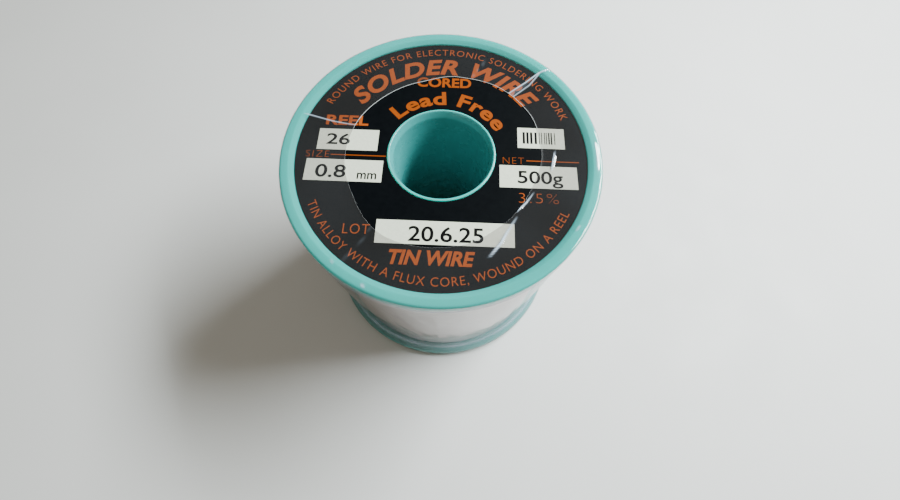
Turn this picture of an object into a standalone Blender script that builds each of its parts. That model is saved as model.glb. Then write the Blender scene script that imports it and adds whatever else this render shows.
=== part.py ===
"""Solder wire spool: 500 g of 0.8 mm solder wire on a moulded reel, sealed in shrink film.

The reel is two moulded halves. Each half is a flange with a raised round rim and half of a
double-walled barrel: a bore tube for the spindle and, around it, the wall that carries the
wire, with radial ribs between the two. The halves plug together at mid-height. A label lies
in the recess of each flange. The wire starts in a small hole in the barrel, fills the space
between the flanges, and its free end is held by a tab of tape. A clear film with a round
opening on each face is shrunk over it all.

Metres, +Z up along the reel's axis, origin at the centre of the face that it stands on.
"""
from math import cos, pi, radians, sin, tau

import bmesh
import bpy

# Overall size, over the film.
OVERALL_RADIUS = 0.03385
OVERALL_HEIGHT = 0.0584

# Clear shrink film.
FILM_THICKNESS = 0.0001
FILM_GAP = 0.0002
FILM_OPENING_RADIUS = 0.0215
FILM_NECK = 0.0022          # how far the film draws in between the flanges
FILM_WAIST = 10 / 12        # where it is drawn in furthest, as a share of the way down
FILM_NECK_STEPS = 12

# The reel's moulded shape.
FLANGE_RADIUS = OVERALL_RADIUS - FILM_THICKNESS - FILM_GAP
FACE_INSET = FILM_THICKNESS + FILM_GAP      # rim's top plane below the overall height
FLANGE_THICKNESS = 0.0028
RIM_WIDTH = 0.0029
RIM_ROUND = 0.0006
RIM_BEVEL_WIDTH = 0.0010    # the rim slopes down on its inner side towards the label
RIM_BEVEL_DROP = 0.00055
LABEL_RECESS = 0.0010
BORE_RADIUS = 0.0103
BORE_WALL = 0.0011
LIP_ABOVE_RECESS = 0.00035  # the bore tube's end stands a little above the label
LIP_ROUND = 0.0002
FLARE_WIDTH = 0.0006        # the bore opens out a little towards each end
FLARE_DEPTH = 0.0016
FLARE_ROUND = 0.00015
BARREL_RADIUS = 0.0188
BARREL_WALL = 0.0014
WEB_THICKNESS = FLANGE_THICKNESS - LABEL_RECESS

# The joint between the two halves, and the ribs inside the barrel.
JOINT_GAP = 0.0003
SPIGOT_LENGTH = 0.0040
SPIGOT_WALL = 0.0012
SPIGOT_ROOT = 0.0060
SPIGOT_CHAMFER = 0.0004
RIB_COUNT = 6
RIB_THICKNESS = 0.0012
RIB_OVERLAP = 0.0003        # how far a rib runs into the walls that it joins
UPPER_RIB_CLEARANCE = 0.0010

# Labels.
LABEL_THICKNESS = 0.00015
LABEL_GAP = 0.00015
LABEL_EDGE_GAP = 0.0003

# Solder wire, its winding and its two ends.
WIRE_RADIUS = 0.0004
WINDING_RADIUS = 0.0308
WINDING_GAP = 0.0003
START_HOLE_RADIUS = 0.0008
START_HOLE_ANGLE = 210.0
START_HOLE_ABOVE_FLANGE = 0.0030
TAIL_STRAIGHT = 0.0012
TAIL_BEND_RADIUS = 0.0020
TAIL_RISE = 0.0050
TAIL_BEND_STEPS = 6
TAPE_THICKNESS = 0.00012
TAPE_GAP = 0.00025
TAPE_HEIGHT = 0.0120
TAPE_ANGLE = 34.0
TAPE_MIDDLE_ANGLE = 118.0
TAPE_BELOW_TOP_FLANGE = 0.0060

# How finely round shapes are cut.
TURN_STEPS = 48
TAPE_STEPS = 8
HOLE_STEPS = 16
ROUND_STEPS = 4

RIM_TOP = OVERALL_HEIGHT - FACE_INSET
HALF_HEIGHT = OVERALL_HEIGHT / 2


def clear_scene():
    for thing in list(bpy.data.objects):
        bpy.data.objects.remove(thing, do_unlink=True)


def new_collection(name):
    group = bpy.data.collections.new(name)
    bpy.context.scene.collection.children.link(group)
    return group


def new_material(name, colour, roughness, metallic=0.0, alpha=1.0):
    look = bpy.data.materials.new(name)
    look.use_nodes = True
    shader = look.node_tree.nodes["Principled BSDF"]
    shader.inputs["Base Color"].default_value = (*colour, 1.0)
    shader.inputs["Roughness"].default_value = roughness
    shader.inputs["Metallic"].default_value = metallic
    shader.inputs["Alpha"].default_value = alpha
    look.diffuse_color = (*colour, alpha)
    return look


def arc(centre_r, centre_z, radius, start, end, steps=ROUND_STEPS):
    """Points (r, z) on an arc, from angle start to end in degrees, counted from +r towards +z."""
    angles = [radians(start + (end - start) * i / steps) for i in range(steps + 1)]
    return [(centre_r + radius * cos(a), centre_z + radius * sin(a)) for a in angles]


def profile_mesh(name, points, closed):
    """A line of edges in the XZ plane, ready for a Screw modifier."""
    mesh = bpy.data.meshes.new(name)
    edges = [(i, i + 1) for i in range(len(points) - 1)]
    if closed:
        edges.append((len(points) - 1, 0))
    mesh.from_pydata([(r, 0.0, z) for r, z in points], edges, [])
    return mesh


def add_object(name, data, group, look=None):
    thing = bpy.data.objects.new(name, data)
    group.objects.link(thing)
    if look is not None:
        data.materials.append(look)
    return thing


def add_screw(thing, steps=TURN_STEPS, angle=tau):
    screw = thing.modifiers.new("turn", "SCREW")
    screw.axis = "Z"
    screw.angle = angle
    screw.steps = steps
    screw.render_steps = steps
    screw.use_smooth_shade = True
    return screw


def add_solidify(thing, thickness, offset):
    shell = thing.modifiers.new("shell", "SOLIDIFY")
    shell.thickness = thickness
    shell.offset = offset
    return shell


def add_boolean(thing, operation, other):
    cut = thing.modifiers.new(operation.lower(), "BOOLEAN")
    cut.operation = operation
    cut.solver = "EXACT"
    cut.object = other


def turned_ring(name, outline, group, look):
    """A closed outline, clockwise in (r, z), turned once around the axis."""
    ring = add_object(name, profile_mesh(name, outline, closed=True), group, look)
    add_screw(ring)
    return ring


def as_guide(thing):
    thing.hide_render = True
    thing.display_type = "WIRE"
    return thing


def flange_outline():
    """The upper flange: bore lip, label recess, raised rim, and inner face to the barrel."""
    inner_face = RIM_TOP - FLANGE_THICKNESS
    edge_r = FLANGE_RADIUS - RIM_ROUND
    recess_floor = RIM_TOP - LABEL_RECESS
    rim_inner = FLANGE_RADIUS - RIM_WIDTH
    tube_outside = BORE_RADIUS + BORE_WALL
    lip_top = recess_floor + LIP_ABOVE_RECESS
    lip = [(BORE_RADIUS, lip_top - FLARE_DEPTH)]
    lip += arc(BORE_RADIUS + FLARE_WIDTH + FLARE_ROUND, lip_top - FLARE_ROUND, FLARE_ROUND, 160, 90)
    lip += arc(tube_outside - LIP_ROUND, lip_top - LIP_ROUND, LIP_ROUND, 90, 0)
    rim_inside = [(rim_inner, RIM_TOP - RIM_BEVEL_DROP), (rim_inner + RIM_BEVEL_WIDTH, RIM_TOP)]
    rim_top = arc(edge_r, RIM_TOP - RIM_ROUND, RIM_ROUND, 90, 0)
    rim_under = arc(edge_r, inner_face + RIM_ROUND, RIM_ROUND, 0, -90)
    recess = [(tube_outside, recess_floor), (rim_inner, recess_floor)]
    return lip + recess + rim_inside + rim_top + rim_under + [(BARREL_RADIUS, inner_face)]


def upper_half_outline():
    """Clockwise: bore lip, flange, down the barrel wall, up inside it, down the bore tube."""
    foot = HALF_HEIGHT + JOINT_GAP / 2
    web_under = RIM_TOP - LABEL_RECESS - WEB_THICKNESS
    barrel_inside = BARREL_RADIUS - BARREL_WALL
    tube_outside = BORE_RADIUS + BORE_WALL
    walls = [(BARREL_RADIUS, foot), (barrel_inside, foot), (barrel_inside, web_under),
             (tube_outside, web_under), (tube_outside, foot), (BORE_RADIUS, foot)]
    return flange_outline() + walls


def lower_half_outline():
    """The upper half turned over, with a spigot that plugs into the upper barrel wall."""
    mirrored = [(r, OVERALL_HEIGHT - z) for r, z in flange_outline()]
    top = HALF_HEIGHT - JOINT_GAP / 2
    tip = HALF_HEIGHT + SPIGOT_LENGTH
    root = HALF_HEIGHT - SPIGOT_ROOT
    web_over = OVERALL_HEIGHT - (RIM_TOP - LABEL_RECESS - WEB_THICKNESS)
    barrel_inside = BARREL_RADIUS - BARREL_WALL
    spigot_outside = barrel_inside - JOINT_GAP
    spigot_inside = spigot_outside - SPIGOT_WALL
    tube_outside = BORE_RADIUS + BORE_WALL
    taper = barrel_inside - spigot_inside
    walls = [(BARREL_RADIUS, top), (spigot_outside, top),
             (spigot_outside, tip - SPIGOT_CHAMFER), (spigot_outside - SPIGOT_CHAMFER, tip),
             (spigot_inside, tip), (spigot_inside, root), (barrel_inside, root - taper),
             (barrel_inside, web_over), (tube_outside, web_over), (tube_outside, top),
             (BORE_RADIUS, top)]
    return list(reversed(mirrored + walls))


def rib_guide(name, bottom, top, group):
    """The radial ribs between bore tube and barrel wall, as one guide of separate plates."""
    inner = BORE_RADIUS + BORE_WALL - RIB_OVERLAP
    outer = BARREL_RADIUS - BARREL_WALL + RIB_OVERLAP
    plates = bmesh.new()
    for index in range(RIB_COUNT):
        made = bmesh.ops.create_cube(plates, size=1.0)["verts"]
        bmesh.ops.scale(plates, vec=(outer - inner, RIB_THICKNESS, top - bottom), verts=made)
        bmesh.ops.translate(plates, vec=((inner + outer) / 2, 0.0, (top + bottom) / 2), verts=made)
        turn = tau * index / RIB_COUNT
        for vertex in made:
            x, y, z = vertex.co
            vertex.co = (x * cos(turn) - y * sin(turn), x * sin(turn) + y * cos(turn), z)
    mesh = bpy.data.meshes.new(name)
    plates.to_mesh(mesh)
    plates.free()
    return as_guide(add_object(name, mesh, group))


def start_hole_height():
    return OVERALL_HEIGHT - RIM_TOP + FLANGE_THICKNESS + START_HOLE_ABOVE_FLANGE


def start_hole_cutter(group):
    """A radial drill through the barrel wall only, where the wire's first end goes in."""
    wall_middle = BARREL_RADIUS - BARREL_WALL / 2
    drill = bmesh.new()
    bmesh.ops.create_cone(drill, cap_ends=True, segments=HOLE_STEPS, radius1=START_HOLE_RADIUS,
                          radius2=START_HOLE_RADIUS, depth=3 * BARREL_WALL)
    mesh = bpy.data.meshes.new("start_hole_cutter")
    drill.to_mesh(mesh)
    drill.free()
    cutter = as_guide(add_object("start_hole_cutter", mesh, group))
    angle = radians(START_HOLE_ANGLE)
    cutter.location = (wall_middle * cos(angle), wall_middle * sin(angle), start_hole_height())
    cutter.rotation_euler = (0.0, pi / 2, angle)
    return cutter


def make_upper_half(group, guides, look):
    half = turned_ring("upper_spool_half", upper_half_outline(), group, look)
    bottom = HALF_HEIGHT + SPIGOT_LENGTH + UPPER_RIB_CLEARANCE
    top = RIM_TOP - FLANGE_THICKNESS + RIB_OVERLAP
    add_boolean(half, "UNION", rib_guide("upper_rib_guide", bottom, top, guides))


def make_lower_half(group, guides, look):
    half = turned_ring("lower_spool_half", lower_half_outline(), group, look)
    bottom = OVERALL_HEIGHT - (RIM_TOP - FLANGE_THICKNESS) - RIB_OVERLAP
    top = HALF_HEIGHT - SPIGOT_ROOT / 2
    add_boolean(half, "UNION", rib_guide("lower_rib_guide", bottom, top, guides))
    add_boolean(half, "DIFFERENCE", start_hole_cutter(guides))


def make_label(name, lowest, group, look):
    inner = BORE_RADIUS + BORE_WALL + LABEL_EDGE_GAP
    outer = FLANGE_RADIUS - RIM_WIDTH - LABEL_EDGE_GAP
    highest = lowest + LABEL_THICKNESS
    outline = [(outer, highest), (outer, lowest), (inner, lowest), (inner, highest)]
    turned_ring(name, outline, group, look)


def make_winding(group, look):
    """The wound wire as one ring: its real outer shape, with wire-sized round corners."""
    inner = BARREL_RADIUS + WINDING_GAP
    bottom = OVERALL_HEIGHT - RIM_TOP + FLANGE_THICKNESS + WINDING_GAP
    top = OVERALL_HEIGHT - bottom
    corner_r = WINDING_RADIUS - WIRE_RADIUS
    upper = arc(corner_r, top - WIRE_RADIUS, WIRE_RADIUS, 90, 0, 3)
    lower = arc(corner_r, bottom + WIRE_RADIUS, WIRE_RADIUS, 0, -90, 3)
    turned_ring("solder_winding", upper + lower + [(inner, bottom), (inner, top)], group, look)


def make_start_tail(group, look):
    """The wire's first end: in through the hole, then bent up inside the hollow barrel."""
    angle = radians(START_HOLE_ANGLE)
    height = start_hole_height()
    bend_r = BARREL_RADIUS - BARREL_WALL - TAIL_STRAIGHT
    route = [(BARREL_RADIUS, height), (bend_r, height)]
    for r, z in arc(bend_r, height + TAIL_BEND_RADIUS, TAIL_BEND_RADIUS, -90, -180,
                    TAIL_BEND_STEPS)[1:]:
        route.append((r, z))
    route.append((route[-1][0], route[-1][1] + TAIL_RISE))
    curve = bpy.data.curves.new("wire_start_tail", "CURVE")
    curve.dimensions = "3D"
    curve.bevel_depth = WIRE_RADIUS
    curve.bevel_resolution = 2
    curve.use_fill_caps = True
    spline = curve.splines.new("POLY")
    spline.points.add(len(route) - 1)
    for point, (r, z) in zip(spline.points, route):
        point.co = (r * cos(angle), r * sin(angle), z, 1.0)
    add_object("wire_start_tail", curve, group, look)


def make_end_tape(group, look):
    """The tab of tape that holds the wire's free end, curved over the winding."""
    radius = WINDING_RADIUS + TAPE_GAP
    top = RIM_TOP - FLANGE_THICKNESS - TAPE_BELOW_TOP_FLANGE
    mesh = profile_mesh("end_tape", [(radius, top), (radius, top - TAPE_HEIGHT)], closed=False)
    tape = add_object("end_tape", mesh, group, look)
    tape.rotation_euler = (0.0, 0.0, radians(TAPE_MIDDLE_ANGLE - TAPE_ANGLE / 2))
    add_screw(tape, TAPE_STEPS, radians(TAPE_ANGLE))
    add_solidify(tape, TAPE_THICKNESS, 1.0)


def film_path():
    """The film's outer surface, from the top opening over both rims to the bottom opening."""
    rim_round = RIM_ROUND + FACE_INSET
    edge_r = OVERALL_RADIUS - rim_round
    top_turn = arc(edge_r, OVERALL_HEIGHT - rim_round, rim_round, 90, 0)
    bottom_turn = arc(edge_r, rim_round, rim_round, 0, -90)
    neck_top = RIM_TOP - FLANGE_THICKNESS
    neck_bottom = OVERALL_HEIGHT - neck_top
    neck = []
    for step in range(FILM_NECK_STEPS + 1):
        share = step / FILM_NECK_STEPS
        draw_in = FILM_NECK * min(share / FILM_WAIST, (1 - share) / (1 - FILM_WAIST))
        neck.append((OVERALL_RADIUS - draw_in, neck_top + (neck_bottom - neck_top) * share))
    start = [(FILM_OPENING_RADIUS, OVERALL_HEIGHT)]
    return start + top_turn + neck + bottom_turn + [(FILM_OPENING_RADIUS, 0.0)]


def make_film(group, look):
    mesh = profile_mesh("shrink_film", film_path(), closed=False)
    film = add_object("shrink_film", mesh, group, look)
    add_screw(film)
    add_solidify(film, FILM_THICKNESS, -1.0)


def main():
    clear_scene()
    spool = new_collection("solder_wire_spool")
    guides = new_collection("guides")
    upper_teal = new_material("upper_half_teal", (0.24, 0.56, 0.51), 0.38)
    lower_teal = new_material("lower_half_teal", (0.22, 0.53, 0.48), 0.38)
    top_print = new_material("top_label_black", (0.03, 0.03, 0.035), 0.42)
    bottom_print = new_material("bottom_label_black", (0.03, 0.03, 0.035), 0.42)
    solder = new_material("solder_wire_silver", (0.72, 0.71, 0.70), 0.34, metallic=1.0)
    tail = new_material("start_tail_silver", (0.70, 0.69, 0.68), 0.36, metallic=1.0)
    tape = new_material("end_tape_white", (0.80, 0.79, 0.74), 0.50)
    clear = new_material("shrink_film_clear", (0.92, 0.95, 0.95), 0.12, alpha=0.25)

    label_floor = RIM_TOP - LABEL_RECESS + LABEL_GAP
    make_upper_half(spool, guides, upper_teal)
    make_lower_half(spool, guides, lower_teal)
    make_label("top_label", label_floor, spool, top_print)
    make_label("bottom_label", OVERALL_HEIGHT - label_floor - LABEL_THICKNESS, spool, bottom_print)
    make_winding(spool, solder)
    make_start_tail(spool, tail)
    make_end_tape(spool, tape)
    make_film(spool, clear)


main()
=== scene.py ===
import random
from math import atan2, cos, degrees, exp, log, pi, radians, sin, tan, tau

import bmesh
import bpy
from mathutils import Matrix, Quaternion, Vector, noise


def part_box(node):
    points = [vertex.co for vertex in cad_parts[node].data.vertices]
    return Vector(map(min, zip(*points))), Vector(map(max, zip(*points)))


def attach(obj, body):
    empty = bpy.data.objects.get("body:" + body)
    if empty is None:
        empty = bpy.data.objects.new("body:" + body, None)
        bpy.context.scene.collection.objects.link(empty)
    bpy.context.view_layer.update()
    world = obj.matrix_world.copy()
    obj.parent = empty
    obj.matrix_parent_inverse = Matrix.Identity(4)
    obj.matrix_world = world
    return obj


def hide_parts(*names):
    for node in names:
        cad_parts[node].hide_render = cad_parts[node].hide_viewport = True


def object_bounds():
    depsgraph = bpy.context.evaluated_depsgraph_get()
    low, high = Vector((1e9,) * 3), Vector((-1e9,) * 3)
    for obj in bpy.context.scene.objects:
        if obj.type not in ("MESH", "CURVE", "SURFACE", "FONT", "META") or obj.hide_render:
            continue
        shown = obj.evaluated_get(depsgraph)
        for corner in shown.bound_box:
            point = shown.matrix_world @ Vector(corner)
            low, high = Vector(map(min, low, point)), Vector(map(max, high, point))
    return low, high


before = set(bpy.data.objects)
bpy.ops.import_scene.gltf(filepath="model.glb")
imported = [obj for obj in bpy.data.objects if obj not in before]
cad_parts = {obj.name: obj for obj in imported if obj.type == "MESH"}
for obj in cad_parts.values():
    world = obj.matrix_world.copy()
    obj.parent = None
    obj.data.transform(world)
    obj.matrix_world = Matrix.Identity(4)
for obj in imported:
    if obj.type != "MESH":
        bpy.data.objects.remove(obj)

MM = 0.001

# ---- sizes from the frame
cad_low, cad_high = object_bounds()
OVERALL_HEIGHT = cad_high.z
MIDDLE = OVERALL_HEIGHT / 2
REEL_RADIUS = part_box("upper_spool_half")[1].x
REEL_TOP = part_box("upper_spool_half")[1].z
WINDING_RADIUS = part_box("solder_winding")[1].x
WINDING_BOTTOM, WINDING_TOP = (corner.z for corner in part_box("solder_winding"))
TAPE_BOTTOM, TAPE_TOP = (corner.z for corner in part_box("end_tape"))

# The reel's section. It is the CAD's, but for a closer joint, and for the rim's crest and the
# foot of the flare, which are rounded here and sharp there.
FLANGE_THICKNESS = 2.8 * MM
RIM_WIDTH = 2.9 * MM
RIM_ROUND = 0.6 * MM
RIM_BEVEL_WIDTH = 1.0 * MM
RIM_BEVEL_DROP = 0.55 * MM
RIM_CREST_ROUND = 0.6 * MM
LABEL_RECESS = 1.0 * MM
BORE_RADIUS = 10.3 * MM
BORE_WALL = 1.1 * MM
LIP_ABOVE_RECESS = 0.35 * MM
LIP_ROUND = 0.2 * MM
FLARE_WIDTH = 0.6 * MM
FLARE_DEPTH = 1.6 * MM
FLARE_ROUND = 0.15 * MM
FLARE_BEND = 2.0 * MM
BARREL_RADIUS = 18.8 * MM
BARREL_WALL = 1.4 * MM
SPIGOT_LENGTH = 4.0 * MM
SPIGOT_ROOT = 6.0 * MM
SPIGOT_WALL = 1.2 * MM
SPIGOT_GAP = 0.3 * MM
JOINT_GAP = 0.08 * MM
RIB_COUNT = 6
RIB_THICKNESS = 1.2 * MM
RIB_OVERLAP = 0.3 * MM  # how far a rib runs into the walls that it joins
START_HOLE_RADIUS = 0.8 * MM
START_HOLE_ANGLE = 210.0
START_HOLE_ABOVE_FLANGE = 3.0 * MM

INNER_TOP = REEL_TOP - FLANGE_THICKNESS  # the flanges' inner faces
INNER_BOTTOM = OVERALL_HEIGHT - INNER_TOP
RECESS_FLOOR = REEL_TOP - LABEL_RECESS
RIM_INNER = REEL_RADIUS - RIM_WIDTH
TUBE_OUTSIDE = BORE_RADIUS + BORE_WALL
BARREL_INSIDE = BARREL_RADIUS - BARREL_WALL
JOINT_FACE = MIDDLE + JOINT_GAP / 2

WIRE_RADIUS = 0.4 * MM
CLIMB_START = 21.5 * MM  # from here outwards the film rises off the label
LABEL_THICKNESS = 0.12 * MM
LABEL_FLOOR = RECESS_FLOOR + 0.02 * MM
LABEL_TOP = LABEL_FLOOR + LABEL_THICKNESS
LABEL_INNER = TUBE_OUTSIDE + 0.10 * MM
LABEL_OUTER = RIM_INNER - 0.06 * MM

TURN_STEPS = 192
ROUND_STEPS = 5
RIM_ROUND_STEPS = 10


# ---- shape helpers
def arc(centre_r, centre_z, radius, start, end, steps):
    """Points (r, z) on an arc from angle start to end in degrees, from +r towards +z."""
    angles = [radians(start + (end - start) * i / steps) for i in range(steps + 1)]
    return [(centre_r + radius * cos(a), centre_z + radius * sin(a)) for a in angles]


def ease(value):
    """0 below 0, 1 above 1, and a smooth step between."""
    value = min(max(value, 0.0), 1.0)
    return value * value * (3 - 2 * value)


def bell(distance, width):
    return exp(-(distance / width) ** 2)


def upside_down(outline):
    """The outline turned over about the reel's middle, still clockwise."""
    return [(r, OVERALL_HEIGHT - z) for r, z in reversed(outline)]


def new_object(name, mesh, look=None):
    thing = bpy.data.objects.new(name, mesh)
    bpy.context.scene.collection.objects.link(thing)
    if look is not None:
        mesh.materials.append(look)
    return thing


def smooth(mesh, sharp_angle=40.0):
    mesh.shade_smooth()
    mesh.set_sharp_from_angle(angle=radians(sharp_angle))


def ring_mesh(name, rows, closed):
    """Quads over rows of points. Each row is a ring; closed joins the last row to the first."""
    count = len(rows[0])
    points = [point for row in rows for point in row]
    faces = []
    for k in range(len(rows) if closed else len(rows) - 1):
        upper = k * count
        lower = (k + 1) % len(rows) * count
        for j in range(count):
            n = (j + 1) % count
            faces.append((upper + j, lower + j, lower + n, upper + n))
    mesh = bpy.data.meshes.new(name)
    mesh.from_pydata(points, [], faces)
    return mesh


def turned(name, outline, look, steps=TURN_STEPS):
    """A closed outline turned once around the axis."""
    turns = [(cos(tau * j / steps), sin(tau * j / steps)) for j in range(steps)]
    rows = [[(r * c, r * s, z) for c, s in turns] for r, z in outline]
    mesh = ring_mesh(name, rows, closed=True)
    smooth(mesh)
    return new_object(name, mesh, look)


def built_mesh(name, build):
    """A new mesh from a bmesh, which it frees."""
    mesh = bpy.data.meshes.new(name)
    build.to_mesh(mesh)
    build.free()
    return mesh


def apply_modifiers(thing):
    """Puts the piece's modifiers into its mesh, and keeps its material."""
    evaluated = thing.evaluated_get(bpy.context.evaluated_depsgraph_get())
    mesh = bpy.data.meshes.new_from_object(evaluated)
    thing.modifiers.clear()
    thing.data = mesh


def thicken(skin, thickness, offset, sharp_angle):
    """Makes a skin a shell, outwards with an offset of 1 and inwards with -1."""
    shell = skin.modifiers.new("thickness", "SOLIDIFY")
    shell.thickness = thickness
    shell.offset = offset
    apply_modifiers(skin)
    smooth(skin.data, sharp_angle)


def combine(thing, other, operation):
    """Joins other to the piece, or cuts it out, and removes other."""
    change = thing.modifiers.new("change", "BOOLEAN")
    change.operation = operation
    change.solver = "EXACT"
    change.object = other
    apply_modifiers(thing)
    bpy.data.objects.remove(other, do_unlink=True)
    smooth(thing.data)


def finish_piece(piece, slot, *nodes):
    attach(piece, "root")
    if nodes:
        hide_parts(*nodes)


# ---- materials
WHITENING_AND_GLINTS = "fold_whitening_and_glints"  # the film mesh's own record of where folds made it milky, and of painted glints laid on as white
# Painted shade: the bore's wall gets a darker teal, which fades out towards the lip.
BORE_SHADE_COLOUR = (0.050, 0.345, 0.345)
BORE_SHADE_FULL, BORE_SHADE_GONE = BORE_RADIUS + 0.65 * MM, BORE_RADIUS + 1.0 * MM
BARE_GLOSS, COVERED_GLOSS = 1.0, 0.06
BORE_GLOW, OUTSIDE_GLOW = 0.1, 0.75  # subsurface weights


class Look:
    """A node material built around one Principled shader, in object space (metres)."""

    def __init__(self, name, colour, roughness, metallic=0.0):
        self.material = bpy.data.materials.new(name)
        self.material.use_nodes = True
        self.tree = self.material.node_tree
        self.shader = self.tree.nodes["Principled BSDF"]
        self.set("Base Color", (*colour, 1.0))
        self.set("Roughness", roughness)
        self.set("Metallic", metallic)
        self.place = self.add("TexCoord").outputs["Object"]
        self.height = None

    def add(self, kind, values=None, **settings):
        """A shader node, with plain values for its inputs."""
        node = self.tree.nodes.new("ShaderNode" + kind)
        for name, value in settings.items():
            setattr(node, name, value)
        for name, value in (values or {}).items():
            node.inputs[name].default_value = value
        return node

    def link(self, source, target):
        self.tree.links.new(source, target)

    def set(self, socket, value):
        """A plain number or colour on the shader's own socket."""
        self.shader.inputs[socket].default_value = value

    def vary(self, socket, value):
        """A value that changes over the surface, on the shader's own socket."""
        self.link(value, self.shader.inputs[socket])

    def stretched(self, source, stretch):
        mapping = self.add("Mapping", {"Scale": stretch})
        self.link(source, mapping.inputs["Vector"])
        return mapping.outputs["Vector"]

    def grain(self, scale, detail=3.0, stretch=None, rough=0.55, coordinates=None):
        """Noise from 0 to 1, with scale counts to the metre."""
        texture = self.add("TexNoise", {"Scale": scale, "Detail": detail, "Roughness": rough})
        source = coordinates or self.place
        if stretch:
            source = self.stretched(source, stretch)
        self.link(source, texture.inputs["Vector"])
        return texture.outputs["Fac"]

    def spread(self, value, low, high, start=0.3, end=0.7):
        """value from start..end mapped to low..high."""
        span = self.add("MapRange", {"From Min": start, "From Max": end,
                                     "To Min": low, "To Max": high})
        self.link(value, span.inputs["Value"])
        return span.outputs["Result"]

    def distance_out(self):
        """Distance from the reel's axis, in metres."""
        flat = self.add("VectorMath", {1: (1.0, 1.0, 0.0)}, operation="MULTIPLY")
        self.link(self.place, flat.inputs[0])
        length = self.add("VectorMath", operation="LENGTH")
        self.link(flat.outputs["Vector"], length.inputs[0])
        return length.outputs["Value"]

    def blend_colour(self, value, dark, light):
        """The base colour runs from dark to light with value."""
        mix = self.add("Mix", {6: (*dark, 1.0), 7: (*light, 1.0)}, data_type="RGBA")
        self.link(self.spread(value, 0.0, 1.0), mix.inputs["Factor"])
        self.vary("Base Color", mix.outputs[2])

    def specks(self, value, colour, amount, start, end):
        """Lays specks of another colour over the base colour where value passes start."""
        mix = self.add("Mix", {7: (*colour, 1.0)}, data_type="RGBA")
        self.link(self.shader.inputs["Base Color"].links[0].from_socket, mix.inputs[6])
        self.link(self.spread(value, 0.0, amount, start, end), mix.inputs["Factor"])
        self.vary("Base Color", mix.outputs[2])

    def milkiness_and_glints(self, value, low, high):
        """How milky the film is: a little all over, more where folds whitened it, and white where
        glints are painted on.
        """
        folds = self.add("Attribute", attribute_name=WHITENING_AND_GLINTS)
        total = self.add("Math", operation="ADD", use_clamp=True)
        self.link(self.spread(value, low, high), total.inputs[0])
        self.link(folds.outputs["Fac"], total.inputs[1])
        return total.outputs[0]

    def vary_roughness(self, value, low, high):
        self.vary("Roughness", self.spread(value, low, high))

    def bump(self, value, height, strength):
        """Adds surface relief of that height in metres; calls stack."""
        node = self.add("Bump", {"Distance": height, "Strength": strength})
        self.link(value, node.inputs["Height"])
        if self.height is not None:
            self.link(self.height, node.inputs["Normal"])
        self.height = node.outputs["Normal"]
        self.vary("Normal", self.height)

    def layered(self, share, under, over):
        """One shader over another, by a share that changes over the surface."""
        mix = self.add("MixShader")
        for source, target in zip((share, under.outputs[0], over.outputs[0]), mix.inputs):
            self.link(source, target)
        return mix


def reel_look(name, dark, light):
    """Moulded teal plastic: soft flow marks, a fine satin grain and faint rub marks.

    The bore's wall is painted darker, as shade down the hole, and what the film covers has little
    gloss.
    """
    look = Look(name, light, 0.34)
    look.blend_colour(look.grain(70, 4), dark, light)
    rubs = look.grain(260, 5, stretch=(1.0, 0.18, 1.0), rough=0.7)
    look.specks(rubs, tuple(0.6 + 0.4 * c for c in light), 0.06, 0.62, 0.74)
    out = look.distance_out()
    # Painted shade: the bore's wall is darkened in colour down the hole.
    look.specks(out, BORE_SHADE_COLOUR, 1.0, BORE_SHADE_GONE, BORE_SHADE_FULL)
    look.vary("Specular IOR Level",
              look.spread(out, BARE_GLOSS, COVERED_GLOSS, BORE_RADIUS + 2 * MM, CLIMB_START))
    look.vary_roughness(look.grain(190, 4), 0.22, 0.32)
    look.bump(look.grain(420), 0.020 * MM, 0.5)
    look.bump(look.grain(3400, 2), 0.004 * MM, 0.5)
    glow = look.spread(out, BORE_GLOW, OUTSIDE_GLOW, BORE_RADIUS + 0.1 * MM, BORE_RADIUS + MM)
    look.vary("Subsurface Weight", glow)
    look.set("Subsurface Scale", 2.0 * MM)
    look.set("Subsurface Radius", (0.5, 1.0, 0.95))
    look.set("IOR", 1.5)
    return look.material


def label_look(name):
    """Black printed paper with a fibre grain."""
    look = Look(name, (0.002, 0.003, 0.004), 0.5)
    look.blend_colour(look.grain(900, 4), (0.0016, 0.0023, 0.0032), (0.0025, 0.0034, 0.0045))
    look.specks(look.grain(5200, 2), (0.02, 0.022, 0.025), 0.3, 0.70, 0.80)
    look.vary_roughness(look.grain(1300), 0.42, 0.56)
    look.bump(look.grain(2600, rough=0.6), 0.006 * MM, 0.6)
    look.set("Specular IOR Level", 0.03)
    return look.material


def ink_look(name, dark, light):
    """Printed ink: slightly mottled, with pin holes of the ground showing."""
    look = Look(name, light, 0.5)
    look.blend_colour(look.grain(2400, 4), dark, light)
    look.specks(look.grain(7000, 2), tuple(0.55 * c for c in dark), 0.5, 0.68, 0.80)
    look.vary_roughness(look.grain(1500), 0.42, 0.55)
    look.bump(look.grain(4200, 2), 0.003 * MM, 0.5)
    look.set("Specular IOR Level", 0.05)
    return look.material


def solder_look():
    """Drawn tin wire: satin metal with drawing marks along it and small dull patches."""
    look = Look("solder_wire_metal", (0.80, 0.78, 0.76), 0.34, metallic=1.0)
    along = look.add("UVMap").outputs["UV"]
    marks = look.grain(1.0, 4, stretch=(0.35, 9.0, 1.0), rough=0.6, coordinates=along)
    look.blend_colour(look.grain(95, 4), (0.64, 0.61, 0.58), (0.83, 0.80, 0.765))
    look.specks(look.grain(1500), (0.36, 0.35, 0.34), 0.6, 0.68, 0.80)
    look.vary_roughness(marks, 0.26, 0.46)
    look.bump(marks, 0.010 * MM, 0.5)
    return look.material


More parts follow.
